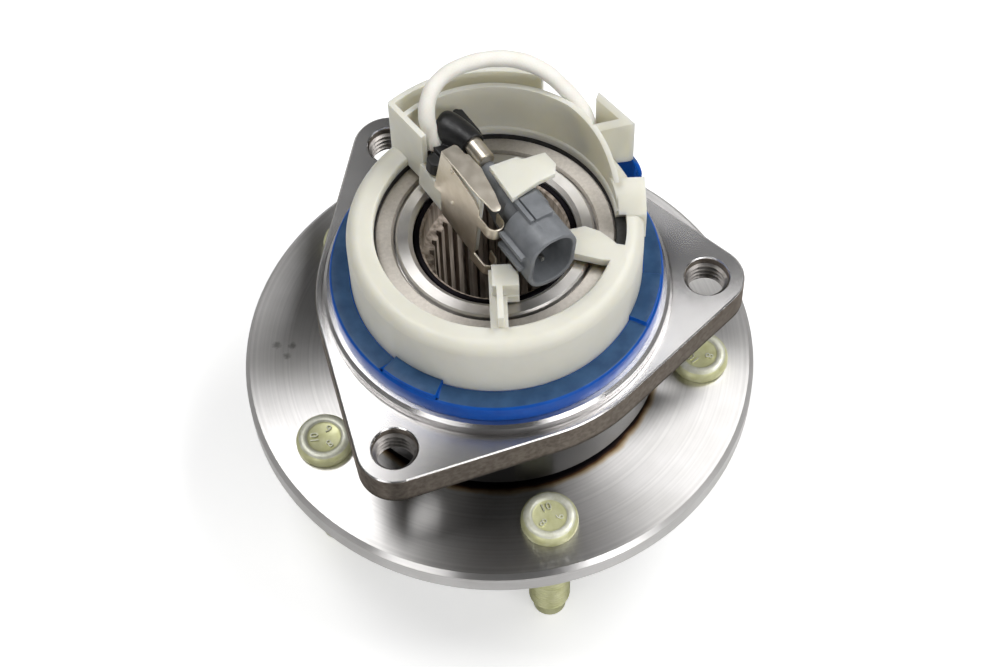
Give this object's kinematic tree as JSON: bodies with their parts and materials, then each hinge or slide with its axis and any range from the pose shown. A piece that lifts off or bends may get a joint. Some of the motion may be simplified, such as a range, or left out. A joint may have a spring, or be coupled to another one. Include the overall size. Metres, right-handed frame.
{
  "type": "wheel hub bearing",
  "caption": "Driven-wheel hub unit: splined hub with wheel studs turning in a flanged double-row ball bearing, with a wheel-speed sensor, sleeved lead and clipped connector.",
  "frame": {"origin": "centre of the stud circle on the face the wheel bolts to", "axes": "+Z along the bearing axis, inboard, towards the sensor; +X through one of the three mounting holes"},
  "size_m": [0.146, 0.146, 0.1394],
  "materials": {
    "machined_steel": "turned and ground forging steel, partly as-forged",
    "bearing_steel": "ground and polished bearing steel",
    "zinc_yellow": "pale yellow-green zinc plating",
    "stamped_steel": "drawn sheet steel, satin",
    "seal_rubber": "moulded nitrile rubber",
    "cage_nylon": "glass-filled polyamide",
    "soft_iron": "pressed and sintered iron",
    "coil_copper": "enamelled copper winding",
    "coil_plastic": "moulded polyamide",
    "blue_acetal": "moulded blue acetal, slightly translucent",
    "natural_nylon": "natural moulded nylon, satin",
    "grey_connector": "grey moulded polyester",
    "boot_rubber": "black moulded rubber, satin",
    "white_sleeve": "woven white sleeving, coated",
    "nickel_spring": "nickel-plated spring steel",
    "terminal_tin": "tin-plated brass"
  },
  "bodies": {
    "housing": {"outer_ring": "machined_steel", "outboard_seal_case": "stamped_steel", "outboard_seal_lip": "seal_rubber", "inboard_seal_case": "stamped_steel", "inboard_seal_lip": "seal_rubber", "locating_ring": "blue_acetal", "sensor_carrier": "natural_nylon", "pole_ring": "soft_iron", "coil_former": "coil_plastic", "sensor_coil": "coil_copper", "end_cover": "stamped_steel", "cover_gasket": "seal_rubber", "connector_body": "grey_connector", "terminals": "terminal_tin", "crimp_sleeve": "nickel_spring", "rubber_boot": "boot_rubber", "signal_lead": "white_sleeve", "spring_clip": "nickel_spring"},
    "hub": {"hub_flange": "machined_steel", "wheel_studs": "zinc_yellow", "inner_race": "bearing_steel", "tone_ring": "soft_iron", "outboard_slinger": "stamped_steel"},
    "outboard_row": {"outboard_balls": "bearing_steel", "outboard_cage": "cage_nylon"},
    "inboard_row": {"inboard_balls": "bearing_steel", "inboard_cage": "cage_nylon"}
  },
  "joints": [
    {"name": "hub_spin", "type": "hinge", "parent": "housing", "child": "hub", "pos_m": [0, 0, 0.032], "axis": [0, 0, 1], "continuous": true},
    {"name": "outboard_row_spin", "type": "hinge", "parent": "housing", "child": "outboard_row", "pos_m": [0, 0, 0.023], "axis": [0, 0, 1], "continuous": true},
    {"name": "inboard_row_spin", "type": "hinge", "parent": "housing", "child": "inboard_row", "pos_m": [0, 0, 0.041], "axis": [0, 0, 1], "continuous": true}
  ],
  "couplings": [
    {"joint": "outboard_row_spin", "follows": "hub_spin", "ratio": 0.4248},
    {"joint": "inboard_row_spin", "follows": "hub_spin", "ratio": 0.4248}
  ]
}
